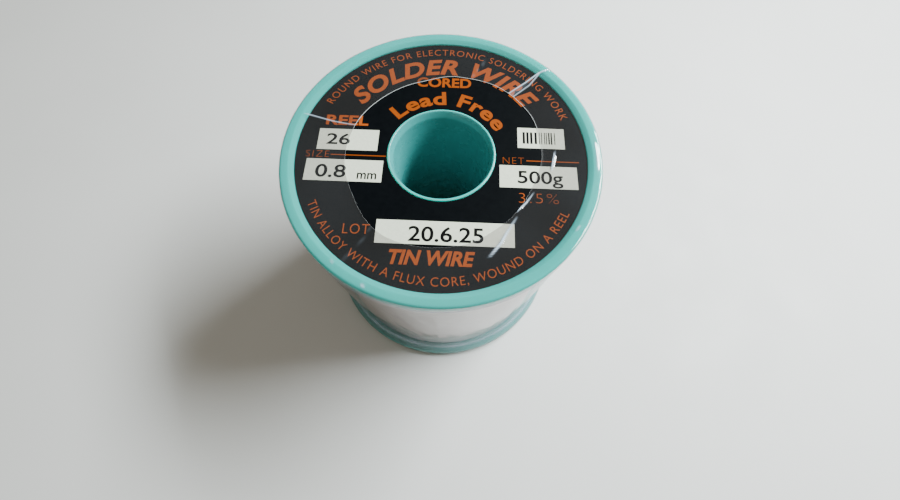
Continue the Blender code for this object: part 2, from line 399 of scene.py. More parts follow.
def tape_look():
    """Thin crepe tape, a little yellow, with fine cross ribs."""
    look = Look("end_tape_crepe", (0.80, 0.76, 0.64), 0.6)
    look.blend_colour(look.grain(700, 4), (0.70, 0.66, 0.54), (0.84, 0.81, 0.70))
    look.bump(look.grain(1500, stretch=(1.0, 1.0, 0.15)), 0.05 * MM, 0.8)
    look.vary_roughness(look.grain(900), 0.5, 0.7)
    return look.material


def film_look():
    """Clear film: what is behind it shows, with Fresnel gloss, fine ripples and a little haze."""
    look = Look("shrink_film_clear", (0.9, 0.9, 0.9), 0.1)
    look.bump(look.grain(90, 2), 0.03 * MM, 0.35)
    look.bump(look.grain(500, 1), 0.002 * MM, 0.35)
    clear = look.add("BsdfTransparent", {"Color": (0.900, 0.888, 0.895, 1.0)})
    gloss = look.add("BsdfGlossy", {"Color": (1.0, 1.0, 1.0, 1.0)})
    look.link(look.spread(look.grain(60, 1), 0.06, 0.10), gloss.inputs["Roughness"])
    # The haze's blue tint is partly painted reflection, standing in for cool light that the film
    # reflects.
    haze = look.add("BsdfDiffuse", {"Color": (0.66, 0.80, 0.98, 1.0)})
    facing = look.add("LayerWeight", {"Blend": 0.5})
    for node in (gloss, haze, facing):
        look.link(look.height, node.inputs["Normal"])
    glance = look.add("Math", {1: 5.0}, operation="POWER")
    look.link(facing.outputs["Facing"], glance.inputs[0])
    shine = look.layered(look.spread(glance.outputs[0], 0.036, 0.55, 0.0, 1.0), clear, gloss)
    # The haze share also lays the painted glints and highlight lines onto the film.
    haze_and_glints = look.layered(look.milkiness_and_glints(look.grain(70, 1), 0.003, 0.006), shine, haze)
    output = look.tree.nodes["Material Output"]
    look.link(haze_and_glints.outputs["Shader"], output.inputs["Surface"])
    look.tree.nodes.remove(look.shader)
    return look.material


def film_edge_and_highlight_look():
    """The film's shrunk edge: milky and glossy, since it is thick and slightly rolled; its pale
    colour is also a painted highlight line.
    """
    look = Look("shrink_film_edge", (0.80, 0.84, 0.86), 0.22)
    look.blend_colour(look.grain(600), (0.70, 0.75, 0.78), (0.88, 0.91, 0.93))
    look.vary_roughness(look.grain(500), 0.15, 0.35)
    look.bump(look.grain(1800, 2), 0.01 * MM, 0.4)
    look.set("Alpha", 0.55)
    return look.material


def floor_look():
    look = Look("pale_floor", (0.72, 0.72, 0.73), 0.6)
    look.blend_colour(look.grain(9), (0.70, 0.70, 0.71), (0.74, 0.74, 0.75))
    look.vary_roughness(look.grain(40), 0.5, 0.65)
    look.bump(look.grain(1800, 2), 0.01 * MM, 0.3)
    return look.material


# ---- the reel
def flange_outline():
    """The upper flange: bore lip, label recess, rim, and its inner face to the barrel."""
    edge_r = REEL_RADIUS - RIM_ROUND
    lip_top = RECESS_FLOOR + LIP_ABOVE_RECESS
    outline = bore_flare(lip_top)
    outline += arc(TUBE_OUTSIDE - LIP_ROUND, lip_top - LIP_ROUND, LIP_ROUND, 90, 0, ROUND_STEPS)
    outline += [(TUBE_OUTSIDE, RECESS_FLOOR), (RIM_INNER, RECESS_FLOOR)]
    outline += rim_bevel()
    outline += arc(edge_r, REEL_TOP - RIM_ROUND, RIM_ROUND, 90, 0, RIM_ROUND_STEPS)
    outline += arc(edge_r, INNER_TOP + RIM_ROUND, RIM_ROUND, 0, -90, RIM_ROUND_STEPS)
    return outline + [(BARREL_RADIUS, INNER_TOP)]


def bore_flare(lip_top):
    """The bore bends gently out into its flare, then rounds over into the end of its tube."""
    slope = degrees(atan2(FLARE_DEPTH, FLARE_WIDTH))
    tangent = FLARE_BEND * tan(radians(90 - slope) / 2)
    bend = arc(BORE_RADIUS + FLARE_BEND, lip_top - FLARE_DEPTH - tangent, FLARE_BEND,
               180, 90 + slope, ROUND_STEPS)
    return bend + arc(BORE_RADIUS + FLARE_WIDTH + FLARE_ROUND, lip_top - FLARE_ROUND, FLARE_ROUND,
                      90 + slope, 90, ROUND_STEPS)


def rim_bevel():
    """The rim's inner side: a small wall, then a slope that rounds over into the rim's top."""
    foot = (RIM_INNER, REEL_TOP - RIM_BEVEL_DROP)
    slope = atan2(RIM_BEVEL_DROP, RIM_BEVEL_WIDTH)
    tangent = RIM_CREST_ROUND * tan(slope / 2)
    crest_r = RIM_INNER + RIM_BEVEL_WIDTH + tangent
    return [foot] + arc(crest_r, REEL_TOP - RIM_CREST_ROUND, RIM_CREST_ROUND,
                        90 + degrees(slope), 90, ROUND_STEPS)


# Up inside the barrel to the flange, and back along the outside of the bore tube.
HOLLOW = [(BARREL_INSIDE, INNER_TOP), (TUBE_OUTSIDE, INNER_TOP), (TUBE_OUTSIDE, JOINT_FACE),
          (BORE_RADIUS, JOINT_FACE)]


def upper_outline():
    foot = [(BARREL_RADIUS, JOINT_FACE), (BARREL_INSIDE, JOINT_FACE)]
    return flange_outline() + foot + HOLLOW


def lower_outline():
    """The upper half turned over, with the spigot that plugs into it."""
    tip = MIDDLE - SPIGOT_LENGTH
    root = MIDDLE + SPIGOT_ROOT
    outside = BARREL_INSIDE - SPIGOT_GAP
    inside = outside - SPIGOT_WALL
    spigot = [(BARREL_RADIUS, JOINT_FACE), (outside, JOINT_FACE), (outside, tip), (inside, tip),
              (inside, root), (BARREL_INSIDE, root + BARREL_INSIDE - inside)]
    return upside_down(flange_outline() + spigot + HOLLOW)


def rib_plates(bottom, top):
    """The radial ribs between bore tube and barrel wall."""
    inner = TUBE_OUTSIDE - RIB_OVERLAP
    outer = BARREL_INSIDE + RIB_OVERLAP
    plates = bmesh.new()
    for index in range(RIB_COUNT):
        size = Matrix.Diagonal((outer - inner, RIB_THICKNESS, top - bottom, 1.0))
        place = Matrix.Translation(((inner + outer) / 2, 0.0, (top + bottom) / 2))
        turn = Matrix.Rotation(tau * index / RIB_COUNT, 4, "Z")
        bmesh.ops.create_cube(plates, size=1.0, matrix=turn @ place @ size)
    return new_object("rib_plates", built_mesh("rib_plates", plates))


def start_hole_drill():
    drill = bmesh.new()
    angle = radians(START_HOLE_ANGLE)
    place = Matrix.Translation((BARREL_RADIUS * cos(angle), BARREL_RADIUS * sin(angle),
                                INNER_BOTTOM + START_HOLE_ABOVE_FLANGE))
    turn = Matrix.Rotation(angle, 4, "Z") @ Matrix.Rotation(pi / 2, 4, "Y")
    bmesh.ops.create_cone(drill, cap_ends=True, segments=24, radius1=START_HOLE_RADIUS,
                          radius2=START_HOLE_RADIUS, depth=4 * BARREL_WALL, matrix=place @ turn)
    return new_object("start_hole_drill", built_mesh("start_hole_drill", drill))


def make_reel():
    look = reel_look("reel_upper_teal", (0.044, 0.575, 0.520), (0.052, 0.625, 0.565))
    upper = turned("upper_reel_half", upper_outline(), look)
    top = INNER_TOP + RIB_OVERLAP
    combine(upper, rib_plates(MIDDLE + SPIGOT_LENGTH + MM, top), "UNION")
    finish_piece(upper, "reel_plastic", "upper_spool_half")

    # Painted shade: the lower half's teal is darker and greyer than the upper half's, for the
    # lower flange lying in shade.
    look = reel_look("reel_lower_teal_painted_shade", (0.052, 0.400, 0.375), (0.060, 0.435, 0.408))
    lower = turned("lower_reel_half", lower_outline(), look)
    bottom = INNER_BOTTOM - RIB_OVERLAP
    combine(lower, rib_plates(bottom, MIDDLE - SPIGOT_ROOT / 2), "UNION")
    combine(lower, start_hole_drill(), "DIFFERENCE")
    finish_piece(lower, "reel_plastic", "lower_spool_half")


# ---- labels and print
PRINT_STEP = 0.014 * MM  # height of one layer of print above the one under it
LETTER_CURVE_STEPS = 5
HOOP_STEPS = 128
# Thin, fine, plain, bold and slanted lettering: weight, slant and spacing.
LETTER_STYLES = ((-0.026, 0.0, 1.15), (-0.008, 0.0, 1.15), (0.015, 0.0, 1.0), (0.03, 0.0, 1.0),
                 (0.035, 0.22, 1.0))
BAR_WIDTHS, BAR_GAPS = (0.18, 0.3, 0.5), (0.22, 0.3, 0.45)  # of the bar code, in millimetres


class Lettering:
    """Measures and makes letters from the built-in font, at a cap height of 1."""

    def __init__(self, bold, slant, spacing):
        self.data = bpy.data.curves.new("lettering", "FONT")
        self.data.offset = bold
        self.data.shear = slant
        self.data.space_character = spacing
        self.data.extrude = 0.5
        self.data.resolution_u = LETTER_CURVE_STEPS
        self.thing = new_object("lettering", self.data)
        self.scale = 1.0
        self.scale = 1.0 / self.extent("H", axis=1)[1]
        self.spans = {}

    def mesh(self, text):
        self.data.body = text
        bpy.context.view_layer.update()
        evaluated = self.thing.evaluated_get(bpy.context.evaluated_depsgraph_get())
        return bpy.data.meshes.new_from_object(evaluated)

    def extent(self, text, axis=0):
        mesh = self.mesh(text)
        values = [vertex.co[axis] * self.scale for vertex in mesh.vertices]
        bpy.data.meshes.remove(mesh)
        return min(values), max(values)

    def line(self, text):
        """Each letter with the x where its own origin stands, and the line's two ends."""
        letters = []
        for index, letter in enumerate(text):
            if letter == " ":
                continue
            if letter not in self.spans:
                self.spans[letter] = self.extent(letter)
            right = self.extent(text[:index + 1])[1]
            letters.append((letter, right - self.spans[letter][1]))
        left = letters[0][1] + self.spans[letters[0][0]][0]
        right = letters[-1][1] + self.spans[letters[-1][0]][1]
        return letters, left, right

    def remove(self):
        bpy.data.objects.remove(self.thing, do_unlink=True)
        bpy.data.curves.remove(self.data)


class Ink:
    """Printed shapes of one colour at one layer, gathered into one thin mesh."""

    def __init__(self, name, layer, look, turn_over=False):
        self.name = name
        self.look = look
        self.flat = bmesh.new()
        self.middle = LABEL_TOP + (layer - 0.5) * PRINT_STEP
        self.turn_over = turn_over

    def add_bar(self, x0, x1, y0, y1):
        """A straight bar or box, in millimetres."""
        size = Matrix.Diagonal(((x1 - x0) * MM, (y1 - y0) * MM, PRINT_STEP, 1.0))
        place = Matrix.Translation(((x0 + x1) / 2 * MM, (y0 + y1) / 2 * MM, self.middle))
        bmesh.ops.create_cube(self.flat, size=1.0, matrix=place @ size)

    def add_letter(self, lettering, letter, place, height, width):
        mesh = lettering.mesh(letter)
        start = len(self.flat.verts)
        self.flat.from_mesh(mesh)
        bpy.data.meshes.remove(mesh)
        self.flat.verts.ensure_lookup_table()
        scale = lettering.scale
        size = Matrix.Diagonal((width * scale, height * scale, PRINT_STEP, 1.0))
        bmesh.ops.transform(self.flat, matrix=place @ size, verts=self.flat.verts[start:])

    def add_line(self, lettering, text, x0, x1, y0, height):
        """A straight line of text from x0 to x1 with its foot at y0, in millimetres."""
        letters, left, right = lettering.line(text)
        width = (x1 - x0) * MM / (right - left)
        for letter, x in letters:
            place = Matrix.Translation((x0 * MM + (x - left) * width, y0 * MM, self.middle))
            self.add_letter(lettering, letter, place, height * MM, width)

    def add_arc(self, lettering, text, radius, start, end, height):
        """Text on an arc: radius is where the letters stand, in millimetres, and start and
        end are its ends in degrees. Letters stand outwards when it runs clockwise."""
        letters, left, right = lettering.line(text)
        sweep = radians(end - start)
        outwards = sweep < 0
        width = abs(sweep) * radius * MM / (right - left)
        for letter, x in letters:
            low, high = lettering.spans[letter]
            middle = x + (low + high) / 2
            angle = radians(start) + sweep * (middle - left) / (right - left)
            turn = angle - pi / 2 if outwards else angle + pi / 2
            foot = radius * MM if outwards else -radius * MM
            place = Matrix.Rotation(turn, 4, "Z") @ Matrix.Translation(
                (-(low + high) / 2 * width, foot, self.middle))
            self.add_letter(lettering, letter, place, height * MM, width)

    def add_hoop(self, inner, outer):
        """A thin printed circle, radii in millimetres."""
        turns = [tau * j / HOOP_STEPS for j in range(HOOP_STEPS)]
        rows = []
        for radius, side in ((outer, 1), (outer, -1), (inner, -1), (inner, 1)):
            z = self.middle + side * PRINT_STEP / 2
            rows.append([(radius * MM * cos(turn), radius * MM * sin(turn), z) for turn in turns])
        mesh = ring_mesh("hoop", rows, closed=True)
        self.flat.from_mesh(mesh)
        bpy.data.meshes.remove(mesh)

    def make(self):
        bmesh.ops.remove_doubles(self.flat, verts=self.flat.verts, dist=0.0005 * MM)
        if self.turn_over:
            flip = Matrix.Translation((0.0, 0.0, OVERALL_HEIGHT)) @ Matrix.Rotation(pi, 4, "X")
            bmesh.ops.transform(self.flat, matrix=flip, verts=self.flat.verts)
        piece = new_object(self.name, built_mesh(self.name, self.flat), self.look)
        finish_piece(piece, "label_print")


def label_outline():
    return [(LABEL_OUTER, LABEL_TOP), (LABEL_OUTER, LABEL_FLOOR), (LABEL_INNER, LABEL_FLOOR),
            (LABEL_INNER, LABEL_TOP)]


def print_top_label(letterings, looks):
    thin, fine, plain, bold, slanted = letterings
    outer = Ink("top_label_pale_print", 1, looks["pale"])
    outer.add_arc(fine, "ROUND WIRE FOR ELECTRONIC SOLDERING WORK", 27.4, 154, 20.5, 1.75)
    outer.add_arc(fine, "TIN ALLOY WITH A FLUX CORE, WOUND ON A REEL", 29.2, -154, -27, 1.75)
    outer.add_arc(slanted, "SOLDER WIRE", 21.7, 146, 34.5, 4.3)
    outer.add_line(bold, "REEL", -25.4, -16.2, 6.5, 2.5)
    outer.add_line(thin, "SIZE", -28.4, -23.5, -2.0, 1.6)
    outer.add_line(thin, "3.5%", 16.0, 24.0, -11.1, 2.2)
    outer.add_line(fine, "LOT", -18.4, -13.2, -19.2, 2.1)
    outer.add_line(slanted, "TIN WIRE", -9.0, 7.4, -25.0, 2.9)
    outer.make()

    inner = Ink("top_label_orange_print", 1, looks["orange"])
    inner.add_line(bold, "CORED", -6.4, 5.9, 17.9, 2.6)
    inner.add_arc(bold, "Lead Free", 12.9, 139, 28, 3.5)
    inner.add_line(thin, "NET", 12.9, 17.3, -2.0, 1.6)
    inner.add_bar(-23.2, -11.6, -1.36, -1.14)
    inner.add_bar(17.8, 28.8, -1.22, -1.00)
    inner.make()

    white = Ink("top_label_white_boxes", 1, looks["white"])
    for box in ((-26.4, -13.6, 0.0, 5.3), (-28.0, -12.0, -7.6, -2.4), (16.1, 26.1, 2.1, 7.3),
                (12.2, 28.2, -7.65, -2.35), (-12.0, 15.0, -20.9, -15.9)):
        white.add_bar(*box)
    white.make()

    black = Ink("top_label_black_print", 2, looks["black"])
    for words in (("26", -24.6, -19.6, 1.4, 2.7), ("0.8", -25.8, -19.5, -6.7, 3.0),
                  ("mm", -17.1, -13.1, -6.9, 2.1), ("500g", 15.9, 25.2, -6.5, 2.9),
                  ("20.6.25", -5.6, 9.0, -20.2, 3.1)):
        black.add_line(plain, *words)
    add_bar_code(black, 17.2, 25.0, 3.2, 6.2)
    black.make()


def add_bar_code(ink, x0, x1, y0, y1):
    """A row of plain upright bars of mixed width."""
    draw = random.Random(5)
    x = x0
    while x < x1 - BAR_WIDTHS[-1]:
        width = draw.choice(BAR_WIDTHS)
        ink.add_bar(x, x + width, y0, y1)
        x += width + draw.choice(BAR_GAPS)


def print_bottom_label(letterings, looks):
    plain, bold = letterings[2:4]
    orange = Ink("bottom_label_orange_print", 1, looks["orange"], turn_over=True)
    orange.add_hoop(29.3, 29.6)
    orange.add_hoop(12.6, 12.9)
    orange.add_arc(bold, "SOLDER WIRE", 21.7, 146, 34.5, 4.0)
    orange.add_arc(plain, "ROUND WIRE WOUND ON A REEL", 26.4, -140, -40, 1.9)
    orange.add_line(plain, "SIZE", -28.0, -23.1, -2.0, 1.6)
    orange.add_line(plain, "NET", 13.9, 18.3, -2.0, 1.6)
    orange.make()
    white = Ink("bottom_label_white_boxes", 1, looks["white"], turn_over=True)
    white.add_bar(-28.0, -13.6, -8.0, -2.6)
    white.add_bar(13.6, 28.0, -8.0, -2.6)
    white.make()
    black = Ink("bottom_label_black_print", 2, looks["black"], turn_over=True)
    black.add_line(plain, "0.8 mm", -26.6, -15.2, -6.8, 2.6)
    black.add_line(plain, "500 g", 15.6, 25.8, -6.8, 2.6)
    black.make()


def make_labels():
    top = turned("top_label_paper", label_outline(), label_look("label_top_black"))
    finish_piece(top, "label_print", "top_label")
    bottom = turned("bottom_label_paper", upside_down(label_outline()),
                    label_look("label_bottom_black"))
    finish_piece(bottom, "label_print", "bottom_label")
    looks = {
        "orange": ink_look("print_orange", (0.25, 0.050, 0.004), (0.30, 0.060, 0.005)),
        "pale": ink_look("print_pale_orange", (0.34, 0.068, 0.008), (0.41, 0.082, 0.010)),
        "white": ink_look("print_white", (0.64, 0.68, 0.57), (0.73, 0.77, 0.65)),
        "black": ink_look("print_black", (0.003, 0.003, 0.0035), (0.0045, 0.0045, 0.005)),
    }
    letterings = [Lettering(*style) for style in LETTER_STYLES]
    print_top_label(letterings, looks)
    print_bottom_label(letterings, looks)
    for lettering in letterings:
        lettering.remove()


# ---- the wound wire
TURN_PITCH = 0.803 * MM
WIRE_SIDES = 8
STEPS_PER_TURN = 120
END_LEAVES_AT = 66.0  # where the free end lifts off the last turn, in degrees
END_STOPS_AT = 122.0
END_HEIGHT = (TAPE_BOTTOM + TAPE_TOP) / 2
END_STEPS = 48
END_LIFT = 1.9 * WIRE_RADIUS
WINDING_OVERRUN = 0.15 * MM  # how far the turns reach past the CAD winding's ends
WANDER = 0.05 * MM  # how unevenly the turns lie


def wire_mesh(name, route, look):
    """A round wire along a route of points, closed at both ends, with u along it."""
    tube = bmesh.new()
    uv = tube.loops.layers.uv.new("along")
    rings, travelled, length = [], [], 0.0
    for index, point in enumerate(route):
        before, after = route[max(index - 1, 0)], route[min(index + 1, len(route) - 1)]
        forward = (after - before).normalized()
        outward = Vector((point.x, point.y, 0.0)).normalized()
        side = forward.cross(outward).normalized()
        outward = side.cross(forward)
        ring = []
        for k in range(WIRE_SIDES):
            angle = tau * k / WIRE_SIDES
            offset = (outward * cos(angle) + side * sin(angle)) * WIRE_RADIUS
            ring.append(tube.verts.new(point + offset))
        rings.append(ring)
        length += (point - before).length
        travelled.append(length / (20 * MM))
    for index in range(len(rings) - 1):
        for k in range(WIRE_SIDES):
            n = (k + 1) % WIRE_SIDES
            corners = (rings[index][k], rings[index][n], rings[index + 1][n],
                       rings[index + 1][k])
            face = tube.faces.new(corners)
            spots = ((0, k), (0, k + 1), (1, k + 1), (1, k))
            for loop, (step, turn) in zip(face.loops, spots):
                loop[uv].uv = (travelled[index + step], turn / WIRE_SIDES)
    tube.faces.new(list(reversed(rings[0])))
    tube.faces.new(rings[-1])
    bmesh.ops.recalc_face_normals(tube, faces=tube.faces)
    mesh = built_mesh(name, tube)
    smooth(mesh, 60.0)
    return new_object(name, mesh, look)


def around(radius, degrees_round, height):
    angle = radians(degrees_round)
    return Vector((radius * cos(angle), radius * sin(angle), height))


def outer_turns():
    """The outer layer, wound level from the lower flange to the upper one, then the free end,
    which comes back down over it to the tape."""
    layer_radius = WINDING_RADIUS - WIRE_RADIUS
    low = WINDING_BOTTOM - WINDING_OVERRUN + WIRE_RADIUS
    high = WINDING_TOP + WINDING_OVERRUN - WIRE_RADIUS
    turns = int((high - low) / TURN_PITCH)
    first_angle = END_LEAVES_AT - 360.0 * turns
    count = turns * STEPS_PER_TURN
    route = []
    for step in range(count + 1):
        share = step / count
        place = Vector((step / STEPS_PER_TURN * 1.7, 0.0, 3.0))
        wander = noise.noise(place) * WANDER
        lift = noise.noise(place + Vector((40.0, 9.0, 0.0))) * WANDER
        height = low + (high - low) * share + wander * ease(8 * min(share, 1 - share))
        route.append(around(layer_radius + lift, first_angle + 360.0 * turns * share, height))
    for step in range(1, END_STEPS + 1):
        share = step / END_STEPS
        rise = ease(share * 6)
        angle = END_LEAVES_AT + (END_STOPS_AT - END_LEAVES_AT) * share
        height = high + (END_HEIGHT - high) * ease(share)
        route.append(around(layer_radius + END_LIFT * rise, angle, height))
    return route


def winding_core():
    """The layers under the outer one, which show only as dark grooves between its turns."""
    inner = BARREL_RADIUS + 0.05 * MM
    outer = WINDING_RADIUS - 2.6 * WIRE_RADIUS
    bottom, top = WINDING_BOTTOM - 0.2 * MM, WINDING_TOP + 0.2 * MM
    bumps = int((top - bottom) / TURN_PITCH)
    outline = []
    for index in range(bumps):
        high = top - (top - bottom) * index / bumps
        low = top - (top - bottom) * (index + 1) / bumps
        half = (high - low) / 2
        outline += [(outer, high), (outer + 0.6 * half, high - 0.4 * half),
                    (outer + 0.8 * half, high - half), (outer + 0.6 * half, low + 0.4 * half)]
    return outline + [(outer, bottom), (inner, bottom), (inner, top)]


def make_winding():
    look = solder_look()
    core = turned("inner_wire_layers", winding_core(), look, 96)
    finish_piece(core, "solder_wire", "solder_winding")
    wire = wire_mesh("outer_wire_layer", outer_turns(), look)
    finish_piece(wire, "solder_wire", "solder_winding")
    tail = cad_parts["wire_start_tail"]
    tail.data.materials.clear()
    tail.data.materials.append(look)


TAPE_START, TAPE_END = 101.0, 135.0  # in degrees
TAPE_COLUMNS, TAPE_ROWS = 60, 30
TAPE_CLEARANCE = 0.12 * MM
TAPE_THICKNESS = 0.09 * MM
TAPE_CRINKLE = 0.05 * MM
HUMP_HEIGHT, HUMP_WIDTH = 1.75 * WIRE_RADIUS, 0.75 * MM


def make_end_tape():
    """The tab lies on the turns and humps over the free end under it."""
    tape = bmesh.new()
    rows = []
    for i in range(TAPE_ROWS + 1):
        height = TAPE_BOTTOM + (TAPE_TOP - TAPE_BOTTOM) * i / TAPE_ROWS
        row = []
        for j in range(TAPE_COLUMNS + 1):
            angle = TAPE_START + (TAPE_END - TAPE_START) * j / TAPE_COLUMNS
            share = (angle - END_LEAVES_AT) / (END_STOPS_AT - END_LEAVES_AT)
            wire_height = WINDING_TOP + (END_HEIGHT - WINDING_TOP) * ease(share)
            covered = 1.0 - ease((angle - END_STOPS_AT) / 1.6)
            hump = HUMP_HEIGHT * bell(height - wire_height, HUMP_WIDTH) * covered
            crinkle = noise.noise(Vector((angle * 0.9, height / MM * 0.8, 2.0))) * TAPE_CRINKLE
            radius = WINDING_RADIUS + TAPE_CLEARANCE + hump + crinkle
            row.append(tape.verts.new(around(radius, angle, height)))
        rows.append(row)
    for lower, upper in zip(rows, rows[1:]):
        for j in range(TAPE_COLUMNS):
            tape.faces.new((lower[j], lower[j + 1], upper[j + 1], upper[j]))
    piece = new_object("end_tape_tab", built_mesh("end_tape_tab", tape), tape_look())
    thicken(piece, TAPE_THICKNESS, 1.0, 50.0)
    finish_piece(piece, "tape", "end_tape")


# ---- the shrink film
FILM_CLEARANCE = 0.09 * MM
FILM_THICKNESS = 0.05 * MM
FILM_NECK = 2.2 * MM
# Where the side is drawn in furthest, as a share of the way down: lower than in the CAD.
FILM_WAIST = 0.93
WAIST_SHARPNESS = 14.0
FILM_STEPS = 400
FACE_STEPS, RIM_STEPS, SIDE_STEPS, UNDERSIDE_STEPS = 44, 8, 32, 16
# Where folds run outwards the film's points lie closer together round it, in degrees.
CREASE_ANGLES = (-58.0, -42.0, -4.0, 46.5, 163.0)
CREASE_SPREAD = 5.0
CREASE_DENSITY = 3.0
# The opening's edge as shrunk: angle in degrees and radius in millimetres.
TOP_OPENING = ((-155, 20.3), (-118, 22.0), (-78, 21.4), (-53, 20.6), (-27, 20.2), (4, 21.1),
               (31, 21.9), (55, 21.9), (81, 21.1), (107, 19.8), (132, 19.7), (160, 20.0))
BOTTOM_OPENING = ((-160, 21.0), (-90, 22.0), (-20, 20.9), (45, 21.8), (110, 20.8))
# Folds pressed into the film over the top face: the width in millimetres, how white the fold is,
# which is partly milky film and partly a painted glint, then the points that it runs through, as
# degrees, millimetres from the axis, and height in millimetres.
TOP_FOLDS = (
    (0.28, 0.80, ((49.2, 21.6, 0.10), (47.0, 26.5, 0.16), (46.2, 30.4, 0.24), (44.6, 32.9, 0.20))),
    (0.28, 0.55, ((45.6, 21.7, 0.12), (44.6, 26.7, 0.15), (45.8, 30.6, 0.16))),
    (1.40, 0.16, ((47.4, 21.8, 0.05), (46.5, 25.5, 0.03), (46.0, 29.0, 0.0))),
    (0.30, 0.40, ((161.4, 20.0, 0.08), (163.7, 25.0, 0.13), (164.4, 30.3, 0.18),
                  (164.6, 31.4, 0.0))),
    (0.30, 1.00, ((3.5, 23.9, 0.0), (-1.5, 23.5, 0.20), (-6.5, 23.2, 0.16), (-9.0, 23.1, 0.0))),
    (0.28, 0.90, ((-24.0, 21.0, 0.0), (-33.0, 20.7, 0.16), (-38.5, 20.4, 0.20),
                  (-41.0, 20.4, 0.0))),
    (0.42, 0.90, ((-42.0, 21.1, 0.0), (-52.0, 22.2, 0.12), (-58.5, 23.6, 0.26),
                  (-67.0, 25.4, 0.0))),
    (0.35, 0.10, ((74.0, 21.6, 0.06), (71.0, 26.0, 0.05), (70.0, 30.0, 0.0))),
    (0.30, 0.85, ((-126.2, 31.0, 0.0), (-126.6, 31.6, 0.14), (-127.6, 32.2, 0.0))),
    (0.26, 0.70, ((-113.2, 31.9, 0.0), (-113.4, 32.5, 0.14), (-113.6, 33.0, 0.0))),
    (0.26, 0.60, ((-30.0, 31.7, 0.0), (-31.4, 32.0, 0.14), (-33.0, 31.8, 0.0))),
    (0.22, 0.45, ((8.0, 32.2, 0.0), (3.0, 32.4, 0.10), (-4.0, 32.3, 0.10), (-9.0, 32.1, 0.0))),
    (0.40, 0.05, ((-126.0, 22.0, 0.05), (-124.0, 27.0, 0.06), (-125.0, 31.2, 0.04))),
)
WHITE_CORE = 0.4  # width of a fold's white line, partly a painted glint, against the fold's own width
# The side has two pale lines, milky film and painted highlight: where it turns in under the upper
# rim, and along its foot.
CORNER_WHITENESS, FOOT_WHITENESS = 0.48, 0.32
CORNER_WIDTH, FOOT_WIDTH = 0.30 * MM, 0.60 * MM
FOOT_ABOVE_FLANGE = 2.5 * MM
LINE_OFFSETS = (-0.7, -0.35, 0.0, 0.35, 0.7)  # extra rings at each line, in millimetres
RIM_CRUMPLE = 0.05 * MM
CORNER_LINE, FOOT_LINE = INNER_TOP + 0.1 * MM, INNER_BOTTOM + FOOT_ABOVE_FLANGE
FACE_RIPPLE = 0.04 * MM
EDGE_RISE, EDGE_RISE_WIDTH = 0.05 * MM, 0.30 * MM  # the film lifts a little at its openings
TUCKS_START, TUCKS_EASING = 29.5 * MM, 2.5 * MM
UPRIGHT_WAVE, CREASE_WAVE, FINE_WAVE = 0.20, 0.09, 0.03  # the side's relief, in millimetres
WIRE_GAP, END_BULGE = 0.15 * MM, 1.0 * MM
SEAM_ANGLE, SEAM_WIDTH, SEAM_HEIGHT = 271.0, 0.9, 0.25  # degrees, degrees, millimetres
# Where the free end and its tape hold the film out: middle, half width and easing in degrees.
HELD_MIDDLE, HELD_HALF_WIDTH, HELD_EASING = 98.0, 40.0, 8.0
FULL_HEIGHT = 0.2 * MM  # a fold of this height is as white as it gets
# Tucks where the film is gathered over the upper rim: angle and width in degrees, and height
# in millimetres.
TOP_TUCKS = ((45.6, 0.9, 0.16), (85.6, 0.5, 0.07), (-31.5, 1.6, 0.05), (-35.5, 0.6, 0.06),
             (-76.0, 0.5, 0.06), (-113.4, 0.6, 0.08), (-125.3, 0.7, 0.09), (-13.7, 1.2, 0.04),
             (11.0, 1.4, 0.05), (120.0, 0.8, 0.03), (164.5, 0.6, 0.06), (-160.0, 0.8, 0.04))
# The thickened edge of the upper opening: degrees and radius in millimetres. It is thickest on the
# upper arc, where its pale bead is a painted highlight line.
EDGE_BEAD = ((-150, 0.008), (-60, 0.008), (8, 0.010), (24, 0.048), (90, 0.055), (158, 0.050),
             (168, 0.010))


def turn_between(angle, other):
    """From other to angle the short way round, in degrees."""
    return (angle - other + 180.0) % 360.0 - 180.0


def film_angles():
    """FILM_STEPS angles in degrees, closer together at the creases."""
    fine_steps = 3600
    passed = [0.0]
    for k in range(fine_steps):
        angle = 360.0 * k / fine_steps
        near = sum(bell(turn_between(angle, crease), CREASE_SPREAD) for crease in CREASE_ANGLES)
        passed.append(passed[-1] + 1.0 + CREASE_DENSITY * near)
    angles = []
    k = 0
    for j in range(FILM_STEPS):
        wanted = passed[-1] * j / FILM_STEPS
        while passed[k + 1] < wanted:
            k += 1
        part = (wanted - passed[k]) / (passed[k + 1] - passed[k])
        angles.append(360.0 * (k + part) / fine_steps)
    return angles


FILM_ANGLES = film_angles()
FILM_TURNS = [(angle, cos(radians(angle)), sin(radians(angle))) for angle in FILM_ANGLES]


def value_round(listed, angle):
    """A smooth value in metres at an angle, through listed (degrees, millimetres) points."""
    for index, (start, low) in enumerate(listed):
        end, high = listed[(index + 1) % len(listed)]
        span = (end - start) % 360.0
        along = (angle - start) % 360.0
        if along <= span:
            return (low + (high - low) * ease(along / span)) * MM
    return listed[0][1] * MM


def fold_segments(folds):
    """Each fold's straight runs: start, run, heights at both ends, width and whiteness."""
    segments = []
    for width, white, points in folds:
        spots = [(around(radius * MM, angle, 0.0).to_2d(), height * MM)
                 for angle, radius, height in points]
        for (start, low), (end, high) in zip(spots, spots[1:]):
            segments.append((start, end - start, low, high, width * MM, white))
    return segments


def fold_at(spot, segments):
    """How far the folds lift the film at a point of a face, and how white they make it, partly as
    painted glints.
    """
    lift, white = 0.0, 0.0
    for start, run, low, high, width, whiteness in segments:
        away = spot - start
        share = min(max(away.dot(run) / run.length_squared, 0.0), 1.0)
        distance = (away - run * share).length
        if distance < 3 * width:
            height = low + (high - low) * share
            lift = max(lift, height * bell(distance, width))
            core = whiteness * min(height / FULL_HEIGHT, 1.0)
            white = max(white, core * bell(distance, WHITE_CORE * width))
    return lift, white


